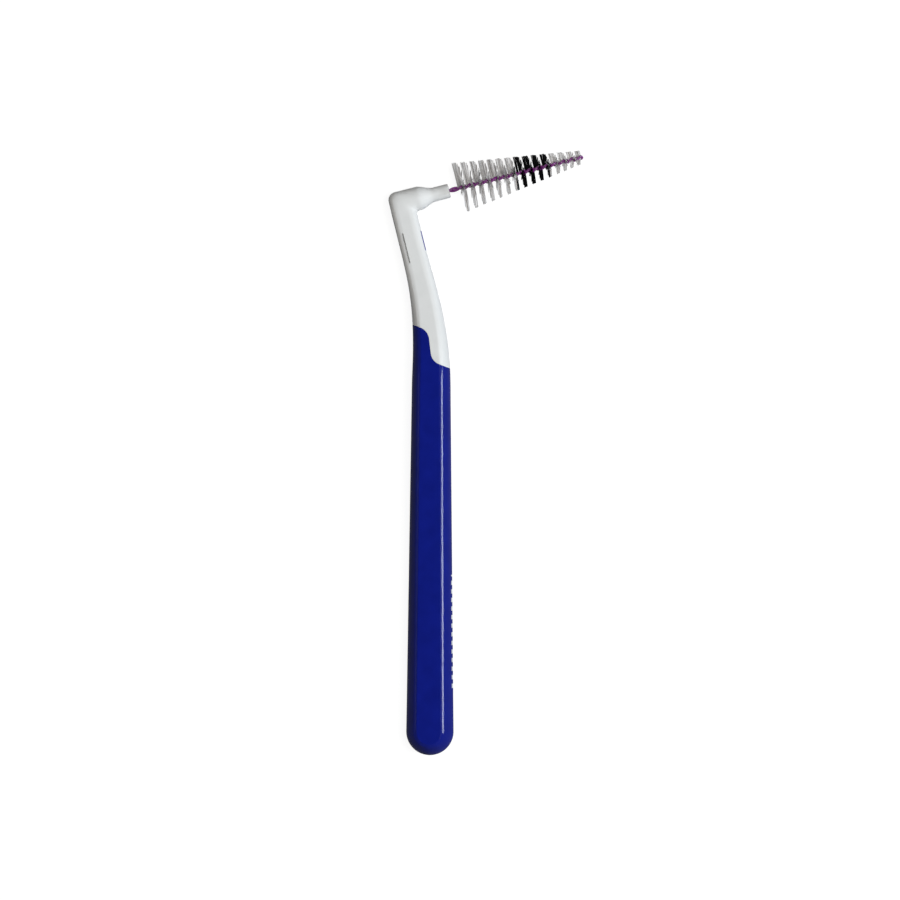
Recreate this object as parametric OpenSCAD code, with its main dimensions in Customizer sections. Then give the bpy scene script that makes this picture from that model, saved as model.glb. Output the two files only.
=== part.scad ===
// Angled interdental brush: a two-shot handle with a leaning neck, and a
// conical brush head of filaments gripped between the legs of a twisted wire.
// The brush lies on one flat side of its grip: X towards the head, Y from butt
// to elbow, Z out of the broad side. Millimetres.

/* [Handle] */
// Width of the handle across its rounded butt
butt_w = 8.3; // [7:0.1:10]
// Width of the handle where it begins to narrow into the neck
shoulder_w = 6.8; // [5.8:0.05:8]
// Distance from the butt to where the handle begins to narrow
shoulder_y = 63; // [50:0.5:66]
// Thickness of the handle between its two flat sides
handle_t = 7.6; // [6:0.1:9]
// Width of each flat side of the handle beside the butt
flat_w = 4.6; // [3:0.1:5.4]
// Width of each flat side where the handle begins to narrow into the neck
shoulder_flat_w = 4.1; // [3:0.1:5]

/* [Neck] */
// Distance from the butt to where the neck begins to lean back
bend_y = 67.2; // [66:0.1:80]
// Radius of the curve that leans the neck back
bend_r = 68; // [40:1:100]
// Angle by which the neck leans back and the arm rises
neck_lean = 14.2; // [8:0.1:25]
// Straight length of neck from the end of the curve to the axis of the arm
neck_rise = 13.2; // [8:0.1:20]
// Width of the neck under the arm
neck_w = 4.35; // [3.6:0.05:5]
// Thickness of the neck under the arm
neck_t = 4.1; // [3.4:0.05:4.1]
// Width left flat on each side of the neck
neck_flat_w = 1.4; // [0.8:0.1:2]
// Length over which the handle narrows and thins into the neck
taper_len = 25.5; // [20:0.5:32]

/* [Arm] */
// Diameter of the arm at the elbow
arm_d = 4.2; // [4.2:0.05:5]
// Distance from the middle of the neck to the end face of the nozzle
arm_len = 8.6; // [7.5:0.1:12]
// Diameter of the nozzle that holds the wire
nozzle_d = 2.5; // [2:0.05:3]
// Length of the straight nozzle
nozzle_len = 2.7; // [2:0.1:4]
// Length over which the arm narrows into the nozzle
arm_taper_len = 2.9; // [2:0.1:3.4]
// Rounding of the outer corner of the elbow
elbow_r = 1.4; // [0.6:0.1:1.6]
// Bevel round the end face of the nozzle
nozzle_bevel = 0.15; // [0.05:0.05:0.3]

/* [Seam and tang] */
// Distance from the butt to the seam's upper corner, before it is rounded
seam_back_y = 74.1; // [73:0.1:78]
// Distance from the butt to the seam's lower corner, before it is rounded
seam_front_y = 68.7; // [66:0.1:69.5]
// Radius of the seam where it turns down
seam_back_r = 2.5; // [1.5:0.1:3.5]
// Radius of the seam where it turns out again
seam_front_r = 2.3; // [1:0.1:3]
// Slope of the seam where it meets the back and the front edge
seam_slope = 20; // [5:1:30]
// Angle by which the steep part of the seam leans from straight down
seam_lean = 7; // [2:1:12]
// Distance of the middle of the seam behind the middle of the handle
seam_off = 0.1; // [0.1:0.1:0.5]
// Width of the tang that runs down inside the grip
tang_w = 3.4; // [2.4:0.1:4]
// Thickness of the tang
tang_t = 3; // [2:0.1:3.6]
// Distance from the butt to the rounded end of the tang
tang_end_y = 16; // [10:1:40]
// Clearance between the two mouldings
shot_gap = 0.02; // [0.01:0.01:0.05]

/* [Neck grooves] */
// Length of the fine groove beside the back edge of the neck
groove_len = 5.8; // [3:0.1:8]
// Width of the groove
groove_w = 0.18; // [0.1:0.02:0.3]
// Depth of the groove
groove_depth = 0.2; // [0.1:0.05:0.4]
// Distance of the groove's lower end above the end of the curve
groove_start = 2.2; // [0:0.1:4]
// Distance of the groove from the middle of the neck
groove_off = 1.25; // [0.8:0.05:1.5]

/* [Twisted wire] */
// Diameter of the steel core of the wire
core_d = 0.3; // [0.26:0.01:0.34]
// Thickness of the coat on the wire
coat_t = 0.06; // [0.04:0.01:0.08]
// Clearance between the core and its coat
coat_gap = 0.004; // [0.002:0.001:0.01]
// Gap between the two legs, where they grip the filaments
leg_gap = 0.12; // [0.11:0.01:0.16]
// Length of one full turn of the twist
twist_pitch = 3.06; // [2.6:0.02:4]
// Length of wire out of the nozzle, to the tip of the fold
wire_out = 24.2; // [23.8:0.1:30]
// Length of wire held inside the nozzle and the arm
wire_root = 3; // [2:0.1:6]
// Clearance round the twisted wire inside the nozzle
root_gap = 0.02; // [0.01:0.01:0.05]

/* [Bristles] */
// Tufts in the pale group beside the nozzle
base_tufts = 7; // [5:1:8]
// Tufts in the dark group
middle_tufts = 4; // [2:1:5]
// Tufts in the pale group at the tip
tip_tufts = 4; // [2:1:5]
// Filaments in each tuft, each one a strand on both sides of the wire
tuft_filaments = 10; // [6:1:12]
// Distance from the nozzle to the first filament that stands straight up
first_tuft = 1.89; // [1.6:0.01:3]
// Diameter of the brush at its first tuft
brush_base_d = 8.8; // [6:0.1:12]
// Diameter of the brush at its last tuft
brush_tip_d = 2.9; // [2:0.1:6]
// Thickness of one filament
filament_d = 0.07; // [0.05:0.01:0.08]
// Angle that the filaments of one tuft fan out over
tuft_fan = 100; // [60:5:120]
// Angle from straight up to the middle filament of a tuft
tuft_turn = 15; // [0:5:40]

/* [Hidden] */
$fn = 64;
// Overrun of every cut past the face that it leaves
cut_over = 1;
// Depth by which joined solids of one piece run into each other
lap = 0.05;
// Facets along one half of a crowned edge, and rings round the butt
crown_steps = 5;
butt_steps = 8;
// Power of the crown: 2 is an even bow from flat to flat
crown_power = 2;
// Rings along the taper into the neck and along the straight neck
taper_steps = 9;
rise_steps = 3;
// Rings along the straight grip, as shares of its length
grip_ring_shares = [0.2, 0.4, 0.6, 0.8];
// Points of each seam arc
seam_steps = 8;
// Rings in one full turn of the wire, rings round its fold, sides of its tube
turn_rings = 8;
fold_rings = 4;
wire_sides = 6;
// How far the shortest filaments of a tuft fall short of the longest
trim_share = 0.06;
// Share of a turn that spreads the filament lengths evenly
spread_share = 0.618;

butt_r = butt_w / 2;
half_handle_t = handle_t / 2;
bend_len = bend_r * neck_lean * PI / 180;
path_len = bend_y + bend_len + neck_rise;
taper_end = shoulder_y + taper_len;
// The grip's flat runs from the crowned butt to the shoulder
butt_crown = butt_r - flat_w / 2;
flat_mid_y = (butt_crown + shoulder_y) / 2;

function mix(a, b, t) = a + (b - a) * t;
function ease(t) = let (c = min(max(t, 0), 1)) c * c * (3 - 2 * c);
function taper(s) = ease((s - shoulder_y) / taper_len);

// Middle line of the handle: straight, a shallow arc, then the leaning neck
function lean(s) = min(max((s - bend_y) / bend_len, 0), 1) * neck_lean;
function along(s) = s <= bend_y
    ? [0, s]
    : s <= bend_y + bend_len
        ? [-bend_r * (1 - cos(lean(s))), bend_y + bend_r * sin(lean(s))]
        : let (rest = s - bend_y - bend_len)
            along(bend_y + bend_len) + rest * [-sin(neck_lean), cos(neck_lean)];

// Half sizes of the section at distance s along the middle line
function half_w(s) = s < shoulder_y
    ? mix(butt_w, shoulder_w, (s - butt_r) / (shoulder_y - butt_r)) / 2
    : mix(shoulder_w, neck_w, taper(s)) / 2;
function half_t(s) = mix(handle_t, neck_t, taper(s)) / 2;
function half_flat(s) = s < shoulder_y
    ? mix(flat_w, shoulder_flat_w, (s - butt_r) / (shoulder_y - butt_r)) / 2
    : mix(shoulder_flat_w, neck_flat_w, taper(s)) / 2;

// Height of the section's middle and its half width at share q of that height
function top_z(s) = s < butt_crown
    ? half_handle_t * pow(s / butt_crown, 1 / crown_power)
    : half_t(s);
function edge_x(s, q) = s < butt_r
    ? let (inset = min(s, butt_crown) * pow(q, crown_power))
        sqrt(pow(butt_r - inset, 2) - pow(butt_r - s, 2))
    : half_w(s) - (half_w(s) - half_flat(s)) * pow(q, crown_power);

// One ring of the handle: up the front edge, then down the back edge
function section(s) = [
    for (side = [1, -1])
        for (k = [-crown_steps:crown_steps])
            let (
                q = side * k / crown_steps,
                x = side * edge_x(s, abs(q)),
                a = lean(s)
            )
            [along(s)[0] + x * cos(a), along(s)[1] + x * sin(a), q * top_z(s)]
];
stations = concat(
    [for (k = [1:butt_steps]) butt_r * (1 - cos(90 * k / butt_steps))],
    [for (share = grip_ring_shares) mix(butt_r, shoulder_y, share)],
    [for (k = [0:taper_steps]) shoulder_y + taper_len * k / taper_steps],
    [for (k = [1:rise_steps]) mix(taper_end, path_len, k / rise_steps)]
);

// A closed skin through rings of equal count, with a point or a flat at its start
module skin(rings, tip) {
    n = len(rings[0]);
    last = len(rings) - 1;
    points = concat([tip], [for (ring = rings) each ring]);
    sides = [
        for (i = [0:last - 1])
            for (j = [0:n - 1])
                let (
                    a = 1 + i * n + j,
                    b = 1 + i * n + (j + 1) % n
                )
                each [[a, b, b + n], [a, b + n, a + n]]
    ];
    start = [for (j = [0:n - 1]) [0, 1 + (j + 1) % n, 1 + j]];
    end = [[for (j = [0:n - 1]) 1 + last * n + j]];
    polyhedron(points, concat(start, sides, end));
}

module handle_form() {
    skin([for (s = stations) section(s)], [0, 0, 0]);
}

// Places a shape on the axis of the arm, with its own Z along the arm
elbow = along(path_len);
module on_arm() {
    translate([elbow[0], elbow[1], 0])
        rotate([0, 0, neck_lean])
            rotate([0, 90, 0])
                children();
}

// Outline of the arm, from its round back corner to the bevelled nozzle
arm_back = neck_w / 2 + lap;
arm_taper_start = arm_len - nozzle_len - arm_taper_len;
corner_steps = 6;
arm_steps = 8;
module arm() {
    on_arm()
        rotate_extrude()
            polygon(concat(
                [[0, -arm_back]],
                [
                    for (k = [0:corner_steps])
                        let (a = 90 * k / corner_steps)
                        [arm_d / 2 - elbow_r * (1 - sin(a)), elbow_r * (1 - cos(a)) - arm_back]
                ],
                [
                    for (k = [0:arm_steps])
                        let (t = k / arm_steps)
                        [mix(arm_d, nozzle_d, ease(t)) / 2, arm_taper_start + arm_taper_len * t]
                ],
                [
                    [nozzle_d / 2, arm_len - nozzle_bevel],
                    [nozzle_d / 2 - nozzle_bevel, arm_len],
                    [0, arm_len]
                ]
            ));
}

// The seam: down a slope from the back edge, round onto its steep part, and
// round the other way onto the slope to the front edge
seam_half_turn = (90 - seam_slope - seam_lean) / 2;
seam_mid_turn = (90 - seam_slope + seam_lean) / 2;
seam_half_run = (seam_back_y - seam_front_y) / 2 * tan(seam_lean);
function seam_arc(side, y, r, shift) = let (
        corner = [-side * seam_half_run - seam_off, y],
        middle = corner - side * r / cos(seam_half_turn) * [cos(seam_mid_turn), sin(seam_mid_turn)]
    )
    [
        for (k = [0:seam_steps])
            let (a = seam_mid_turn + side * seam_half_turn * (1 - 2 * k / seam_steps))
            middle + (side * r + shift) * [cos(a), sin(a)]
    ];
function seam(shift) = let (
        out = butt_w * [cos(seam_slope), -sin(seam_slope)],
        high = seam_arc(1, seam_back_y, seam_back_r, shift),
        low = seam_arc(-1, seam_front_y, seam_front_r, shift)
    )
    concat([high[0] - out], high, low, [low[seam_steps] + out]);
// Everything on the butt's side of the seam
module below_seam(shift) {
    linear_extrude(2 * handle_t, center = true)
        polygon(concat(seam(shift), [[butt_w, -butt_w], [-butt_w, -butt_w]]));
}

// The tang: a flat bar with a round end, grown by the clearance for its pocket
module tang(grow) {
    bar_top = (seam_front_y + seam_back_y) / 2;
    linear_extrude(tang_t + 2 * grow, center = true)
        union() {
            translate([0, tang_end_y + tang_w / 2])
                circle(d = tang_w + 2 * grow);
            translate([-tang_w / 2 - grow, tang_end_y + tang_w / 2])
                square([tang_w + 2 * grow, bar_top - tang_end_y - tang_w / 2]);
        }
}

// Drop of the neck's crown where the grooves run
neck_crown_drop = neck_t / 2 * (1 - pow(
    (neck_w / 2 - groove_off) / (neck_w / 2 - neck_flat_w / 2), 1 / crown_power));
// Fine grooves beside the back edge, one on each side of the neck
module neck_grooves() {
    for (side = [-1, 1])
        translate([along(bend_y + bend_len)[0], along(bend_y + bend_len)[1], 0])
            rotate([0, 0, neck_lean])
                translate([
                    -groove_off - groove_w / 2,
                    groove_start,
                    side * neck_t / 2 - groove_depth - neck_crown_drop
                ])
                    cube([groove_w, groove_len, 2 * groove_depth + 2 * neck_crown_drop]);
}

module grip() {
    color("#141c78")
        translate([0, -flat_mid_y, half_handle_t])
            difference() {
                intersection() {
                    handle_form();
                    below_seam(-shot_gap);
                }
                tang(shot_gap);
            }
}

module neck() {
    color("#e4e4e2")
        translate([0, -flat_mid_y, half_handle_t])
            difference() {
                union() {
                    difference() {
                        handle_form();
                        below_seam(0);
                    }
                    tang(0);
                    arm();
                }
                on_arm()
                    translate([0, 0, arm_len - wire_root - root_gap])
                        cylinder(h = wire_root + root_gap + cut_over, d = twist_d + 2 * root_gap);
                neck_grooves();
            }
}

// The wire is folded once and its legs are twisted together. Distances along
// the arm are measured from the end face of the nozzle.
coat_d = core_d + 2 * coat_t;
leg_r = (coat_d + leg_gap) / 2;
twist_d = 2 * leg_r + coat_d;
fold_s = wire_out - leg_r - coat_d / 2;
leg_steps = ceil((fold_s + wire_root) / twist_pitch * turn_rings);
twist_slope = atan(2 * PI * leg_r / twist_pitch);

// Angle from straight up of the filaments that would cross the wire at s
function turn(s) = 360 * (s - first_tuft) / twist_pitch;
// Directions across the arm: along the filaments, and from leg to leg
function up(s) = [sin(turn(s)), cos(turn(s)), 0];
function apart(s) = [cos(turn(s)), -sin(turn(s)), 0];

// Rings of the wire as [middle, outward, across], out along one leg, round
// the fold and back along the other
function leg_ring(s, side) = let (
        out = side * apart(s),
        run = [0, 0, side * cos(twist_slope)] - sin(twist_slope) * up(s)
    )
    [leg_r * out + [0, 0, s], out, cross(run, out)];
function fold_ring(a) = let (
        out = cos(a) * apart(fold_s) + [0, 0, sin(a)],
        run = [0, 0, cos(a)] - sin(a) * apart(fold_s)
    )
    [leg_r * out + [0, 0, fold_s], out, cross(run, out)];
wire_rings = concat(
    [for (k = [0:leg_steps]) leg_ring(mix(-wire_root, fold_s, k / leg_steps), 1)],
    [for (k = [1:fold_rings - 1]) fold_ring(180 * k / fold_rings)],
    [for (k = [leg_steps:-1:0]) leg_ring(mix(-wire_root, fold_s, k / leg_steps), -1)]
);
function tube_points(r) = [
    for (ring = wire_rings)
        for (j = [0:wire_sides - 1])
            let (a = 360 * j / wire_sides)
            ring[0] + r * (cos(a) * ring[1] + sin(a) * ring[2])
];
ring_count = len(wire_rings);
function tube_sides(first) = [
    for (i = [0:ring_count - 2])
        for (j = [0:wire_sides - 1])
            let (
                a = first + i * wire_sides + j,
                b = first + i * wire_sides + (j + 1) % wire_sides
            )
            each [[a, a + wire_sides, b + wire_sides], [a, b + wire_sides, b]]
];
function turned(faces) = [for (f = faces) [f[0], f[2], f[1]]];
inner_first = ring_count * wire_sides;
last_ring = (ring_count - 1) * wire_sides;

// Least gap between the legs, measured from ring to ring
leg_middles = [for (k = [0:leg_steps]) wire_rings[k][0]];
other_middles = [for (k = [0:leg_steps]) wire_rings[ring_count - 1 - k][0]];
least_gap = min([for (a = leg_middles) min([for (b = other_middles) norm(a - b)])]) - coat_d;
echo(least_gap_between_the_legs = least_gap);

module on_nozzle() {
    translate([0, -flat_mid_y, half_handle_t])
        on_arm()
            translate([0, 0, arm_len])
                children();
}

module wire_core() {
    ends = [
        [for (j = [0:wire_sides - 1]) j],
        [for (j = [wire_sides - 1:-1:0]) last_ring + j]
    ];
    color("#b9bcc0")
        on_nozzle()
            polyhedron(tube_points(core_d / 2 - coat_gap), concat(tube_sides(0), ends));
}

module wire_coat() {
    ends = [
        for (j = [0:wire_sides - 1])
            let (k = (j + 1) % wire_sides)
            each [
                [j, k, inner_first + k],
                [j, inner_first + k, inner_first + j],
                [last_ring + j, inner_first + last_ring + k, last_ring + k],
                [last_ring + j, inner_first + last_ring + j, inner_first + last_ring + k]
            ]
    ];
    color("#7a2a86")
        on_nozzle()
            polyhedron(
                concat(tube_points(coat_d / 2), tube_points(core_d / 2)),
                concat(tube_sides(0), turned(tube_sides(inner_first)), ends)
            );
}

// Bristles: a square spine lies in the gap between the legs, and each filament
// is a four-sided strand out of both its edges, worked to a chisel tip
tuft_len = twist_pitch * tuft_fan / 360;
cell_len = tuft_len / (2 * tuft_filaments - 1);
tuft_count = base_tufts + middle_tufts + tip_tufts;
tuft_step = twist_pitch / 2;
half_f = filament_d / 2;
bridge_rings = 1;
function tuft_start(i) = first_tuft + i * tuft_step + twist_pitch * tuft_turn / 360 - tuft_len / 2;
function brush_r(s) = mix(brush_base_d, brush_tip_d,
    (s - first_tuft) / ((tuft_count - 1) * tuft_step)) / 2;
function strand_len(s, k) = brush_r(s) * (1 - trim_share * (k * spread_share - floor(k * spread_share)));
bridge_len = tuft_step - tuft_len;

module bristles(first, count) {
    tuft_rings = 2 * tuft_filaments;
    tuft_all = tuft_rings + bridge_rings;
    ring_total = count * tuft_all - bridge_rings;
    // Distance along the wire of every ring of the spine
    ring_s = [
        for (n = [0:ring_total - 1])
            let (
                i = floor(n / tuft_all),
                k = n % tuft_all
            )
            tuft_start(first + i) + (k < tuft_rings
                ? k * cell_len
                : tuft_len + bridge_len * (k - tuft_rings + 1) / (bridge_rings + 1))
    ];
    function is_strand(n) = n % tuft_all < tuft_rings && (n % tuft_all) % 2 == 0;
    spine = [
        for (s = ring_s)
            for (corner = [[1, 1], [-1, 1], [-1, -1], [1, -1]])
                half_f * (corner[0] * up(s) + corner[1] * apart(s)) + [0, 0, s]
    ];
    strands = [for (n = [0:ring_total - 2]) if (is_strand(n)) n];
    // Two tip points for each strand, first the one above, then the one below
    tips = [
        for (n = strands)
            for (side = [1, -1])
                for (s = [ring_s[n], ring_s[n + 1]])
                    let (
                        mid = (ring_s[n] + ring_s[n + 1]) / 2,
                        reach = strand_len(mid, n + (side + 1) / 2)
                    )
                    side * reach * up(mid) + [0, 0, s]
    ];
    first_tip = len(spine);
    broad = [
        for (n = [0:ring_total - 2])
            for (j = [0, 2])
                each [
                    [4 * n + j, 4 * n + j + 1, 4 * n + j + 5],
                    [4 * n + j, 4 * n + j + 5, 4 * n + j + 4]
                ]
    ];
    narrow = [
        for (n = [0:ring_total - 2])
            if (!is_strand(n))
                each [
                    [4 * n + 1, 4 * n + 2, 4 * n + 6],
                    [4 * n + 1, 4 * n + 6, 4 * n + 5],
                    [4 * n + 3, 4 * n, 4 * n + 4],
                    [4 * n + 3, 4 * n + 4, 4 * n + 7]
                ]
    ];
    strand_faces = [
        for (m = [0:len(strands) - 1])
            for (side = [0, 1])
                let (
                    n = 4 * strands[m],
                    a = side == 0 ? n + 3 : n + 1,
                    b = side == 0 ? n : n + 2,
                    c = b + 4,
                    d = a + 4,
                    near = first_tip + 4 * m + 2 * side,
                    far = near + 1
                )
                each [
                    [a, b, near],
                    [b, c, far],
                    [b, far, near],
                    [c, d, far],
                    [d, a, near],
                    [d, near, far]
                ]
    ];
    end = 4 * (ring_total - 1);
    ends = [[3, 2, 1, 0], [end, end + 1, end + 2, end + 3]];
    on_nozzle()
        polyhedron(concat(spine, tips), concat(broad, narrow, strand_faces, ends));
}

module bristles_base() {
    color("#c9c6c4") bristles(0, base_tufts);
}

module bristles_middle() {
    color("#16161a") bristles(base_tufts, middle_tufts);
}

module bristles_tip() {
    color("#c9c6c4") bristles(base_tufts + middle_tufts, tip_tufts);
}

grip();
neck();
wire_core();
wire_coat();
bristles_base();
bristles_middle();
bristles_tip();
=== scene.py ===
import math
import random

import bmesh
import bpy
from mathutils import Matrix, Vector


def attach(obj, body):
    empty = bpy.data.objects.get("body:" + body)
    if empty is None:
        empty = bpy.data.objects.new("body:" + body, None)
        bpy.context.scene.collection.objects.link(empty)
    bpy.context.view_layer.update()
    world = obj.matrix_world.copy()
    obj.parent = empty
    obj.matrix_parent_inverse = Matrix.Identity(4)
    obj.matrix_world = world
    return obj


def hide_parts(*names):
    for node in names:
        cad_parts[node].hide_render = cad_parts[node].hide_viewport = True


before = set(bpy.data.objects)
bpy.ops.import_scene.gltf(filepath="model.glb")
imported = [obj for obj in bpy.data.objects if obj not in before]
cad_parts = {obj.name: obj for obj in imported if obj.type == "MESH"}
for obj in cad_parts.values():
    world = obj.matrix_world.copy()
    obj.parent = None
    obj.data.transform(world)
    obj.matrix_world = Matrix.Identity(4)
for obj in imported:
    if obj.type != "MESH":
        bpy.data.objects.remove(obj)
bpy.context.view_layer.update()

# ---------------------------------------------------------------- neck
# The neck is the first shot of the handle, moulded in white polypropylene: a
# nozzle, arm and elbow on a leaning neck, and a flat tang that runs down
# inside the grip and anchors it there.

# The handle's sizes, in millimetres; a distance along it counts from the butt.
MM = 0.001
BUTT_R = 4.15
SHOULDER_W, SHOULDER_Y = 6.8, 63.0
HANDLE_T, BUTT_FLAT_W, SHOULDER_FLAT_W = 7.6, 4.84, 4.12
BEND_Y, BEND_R, LEAN = 67.2, 68.0, math.radians(14.2)
NECK_RISE, NECK_W, NECK_T, NECK_FLAT_W = 13.2, 4.35, 4.1, 2.4
TAPER_LEN = 25.5
BEND_LEN = BEND_R * LEAN
PATH_LEN = BEND_Y + BEND_LEN + NECK_RISE
# The crease between the crowned edge and the flat: half its width, the even
# chamfer in it, and how full the crown is above it.
BUTT_CREASE, SHOULDER_CREASE, NECK_CREASE = 0.3, 0.34, 0.42
CHAMFER_W, CHAMFER_SLOPE = 0.46, math.tan(math.radians(30))
NECK_CHAMFER_W, NECK_CHAMFER_SLOPE = 0.1, 0.25
LEAST_SOFT, MOST_EASED = 0.05, 0.97
BUTT_FULLNESS, SHOULDER_FULLNESS, NECK_FULLNESS = 0.5, 0.4, 0.18
# The origin is the middle of the flat, which is 4.6 wide in the solids.
SOLID_FLAT_W = 4.6
FLAT_MID_Y = (BUTT_R - SOLID_FLAT_W / 2 + SHOULDER_Y) / 2


def mix(a, b, t):
    """The value t of the way from a to b."""
    return a + (b - a) * t


def ease(t):
    """A smooth start and stop between 0 and 1."""
    t = min(max(t, 0.0), 1.0)
    return t * t * (3 - 2 * t)


def lean_at(s):
    """Lean of the middle line at distance s from the butt."""
    return min(max((s - BEND_Y) / BEND_LEN, 0.0), 1.0) * LEAN


def middle_line(s):
    """Middle of the handle in its broad plane, at distance s from the butt."""
    if s <= BEND_Y:
        return 0.0, s
    a = lean_at(s)
    rest = max(s - BEND_Y - BEND_LEN, 0.0)
    return (-BEND_R * (1 - math.cos(a)) - rest * math.sin(LEAN),
            BEND_Y + BEND_R * math.sin(a) + rest * math.cos(LEAN))


def half_sizes(s):
    """Half width, half thickness, half flat and rounding of the crease at s."""
    if s < SHOULDER_Y:
        t = (s - BUTT_R) / (SHOULDER_Y - BUTT_R)
        return (mix(2 * BUTT_R, SHOULDER_W, t) / 2, HANDLE_T / 2,
                mix(BUTT_FLAT_W, SHOULDER_FLAT_W, t) / 2, mix(BUTT_CREASE, SHOULDER_CREASE, t))
    t = ease((s - SHOULDER_Y) / TAPER_LEN)
    return (mix(SHOULDER_W, NECK_W, t) / 2, mix(HANDLE_T, NECK_T, t) / 2,
            mix(SHOULDER_FLAT_W, NECK_FLAT_W, t) / 2, mix(SHOULDER_CREASE, NECK_CREASE, t))


# Columns of a quarter section over the crown, the crease and the flat, and the
# two of them that become a groove's sides, with the least step of those after.
CROWN_STEPS, CREASE_STEPS, FLAT_STEPS = 9, 8, 12
EDGE_STEPS = CROWN_STEPS + CREASE_STEPS
QUARTER = EDGE_STEPS + FLAT_STEPS
GROOVE_STEPS, PUSHED_STEP = (CROWN_STEPS + 2, CROWN_STEPS + 3), 0.02


def crease_form(s):
    """Fullness of the crown, the crease's foot and two slopes, shares of chamfer and soft start."""
    wide, thick, flat, crease = half_sizes(s)
    along = min((s - BUTT_R) / (SHOULDER_Y - BUTT_R), 1)
    t = ease((s - SHOULDER_Y) / TAPER_LEN)
    crown = wide - flat
    fullness = mix(mix(BUTT_FULLNESS, SHOULDER_FULLNESS, along), NECK_FULLNESS, t)
    foot = thick * (1 - crease / crown) ** fullness
    steep = fullness * foot / (crown - crease)
    even = mix(CHAMFER_SLOPE, NECK_CHAMFER_SLOPE, t)
    chamfer = mix(CHAMFER_W, NECK_CHAMFER_W, t) / (2 * crease)
    soft = (1 - chamfer) * (even + steep) + 2 * chamfer * even - (thick - foot) / crease
    soft = min(max(soft / steep, LEAST_SOFT), MOST_EASED - chamfer)
    return fullness, foot, (even, steep), chamfer, soft


def inset_of(step, s):
    """How far one column of a quarter section stands in from the edge."""
    wide, _, flat, crease = half_sizes(s)
    crown = wide - flat
    if step <= CROWN_STEPS:
        return (crown - crease) * (step / CROWN_STEPS) ** 2
    if step <= EDGE_STEPS:
        _, _, _, chamfer, soft = crease_form(s)
        rest = 1 - soft - chamfer
        shares = (1, 1 - rest / 3, 1 - 2 * rest / 3, soft + chamfer, soft + 2 * chamfer / 3,
                  soft + chamfer / 3, soft, soft / 2, 0)
        return crown + crease - 2 * crease * shares[step - CROWN_STEPS]
    return mix(crown + crease, wide, (step - EDGE_STEPS) / FLAT_STEPS)


def crease_fall(share, slopes, chamfer, soft):
    """Fall of the crease at a share of its width from the flat."""
    even, steep = slopes
    if share < soft:
        return even * share ** 2 / (2 * soft)
    rest = max(share - soft - chamfer, 0.0)
    return even * (share - soft / 2) + (steep - even) * rest ** 2 / (2 * (1 - soft - chamfer))


def height_of(inset, s):
    """Half height of the section where it stands that far in from the edge."""
    wide, thick, flat, crease = half_sizes(s)
    crown = wide - flat
    fullness, foot, slopes, chamfer, soft = crease_form(s)
    share = (crown + crease - inset) / (2 * crease)
    if share <= 0:
        return thick
    if share >= 1:
        return thick * (max(inset, 0.0) / crown) ** fullness
    fall, whole_fall = (crease_fall(at, slopes, chamfer, soft) for at in (share, 1))
    return thick - (thick - foot) * fall / whole_fall


# The columns of a ring, as step in from the edge, front or back side, and
# upper or lower half, from the front edge over the top and back underneath.
COLUMNS = ([(k, 1, 1) for k in range(QUARTER)]
           + [(QUARTER - k, -1, 1) for k in range(QUARTER)]
           + [(k, -1, -1) for k in range(QUARTER)]
           + [(QUARTER - k, 1, -1) for k in range(QUARTER)])


def from_butt(x, y, z):
    """A point measured in mm from the butt and the middle plane."""
    return Vector((x, y - FLAT_MID_Y, z + HANDLE_T / 2)) * MM


def across(s, x, z):
    """A point x in front of the middle line at s, and z out of its plane."""
    a = lean_at(s)
    mx, my = middle_line(s)
    return from_butt(mx + x * math.cos(a), my + x * math.sin(a), z)


def section(s, groove=None):
    """One ring of the handle; groove gives the insets that two columns move to."""
    ring = []
    for step, side, half in COLUMNS:
        if s < BUTT_R:
            inset = min(inset_of(step, BUTT_R), s)
            x = math.sqrt(max((BUTT_R - inset) ** 2 - (BUTT_R - s) ** 2, 0.0))
            ring.append(across(s, side * x, half * height_of(inset, BUTT_R)))
            continue
        inset = inset_of(step, s)
        if groove and side < 0 and GROOVE_STEPS[0] <= step <= EDGE_STEPS:
            past = step - GROOVE_STEPS[1]
            if past > 0:
                inset = max(inset, groove[1] + PUSHED_STEP * past)
            else:
                inset = groove[step - GROOVE_STEPS[0]]
        ring.append(across(s, side * (half_sizes(s)[0] - inset), half * height_of(inset, s)))
    return ring


SEAM_BACK_Y, SEAM_BACK_R = 74.27, 2.5
SEAM_FRONT_Y, SEAM_FRONT_R = 68.84, 2.3
SEAM_SLOPE, SEAM_LEAN, SEAM_OFF = math.radians(20), math.radians(7), 0.1
CORNER_STEPS, SLOPE_RUN = 24, 8
SOLVING_STEPS = 20


def seam_path(gap):
    """The seam in plan, from the back edge: slope, corner, corner, slope."""
    half_turn = (math.pi / 2 - SEAM_SLOPE - SEAM_LEAN) / 2
    mid_turn = (math.pi / 2 - SEAM_SLOPE + SEAM_LEAN) / 2
    half_run = (SEAM_BACK_Y - SEAM_FRONT_Y) / 2 * math.tan(SEAM_LEAN)
    path = []
    for side, y, r in ((1, SEAM_BACK_Y, SEAM_BACK_R), (-1, SEAM_FRONT_Y, SEAM_FRONT_R)):
        far = side * r / math.cos(half_turn)
        middle_x = -side * half_run - SEAM_OFF - far * math.cos(mid_turn)
        middle_y = y - far * math.sin(mid_turn)
        for k in range(CORNER_STEPS + 1):
            a = mid_turn + side * half_turn * (1 - 2 * k / CORNER_STEPS)
            path.append((middle_x + (side * r - gap) * math.cos(a),
                         middle_y + (side * r - gap) * math.sin(a)))
    out_x, out_y = SLOPE_RUN * math.cos(SEAM_SLOPE), -SLOPE_RUN * math.sin(SEAM_SLOPE)
    (ax, ay), (bx, by) = path[0], path[-1]
    return [(ax - out_x, ay - out_y)] + path + [(bx + out_x, by + out_y)]


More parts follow.
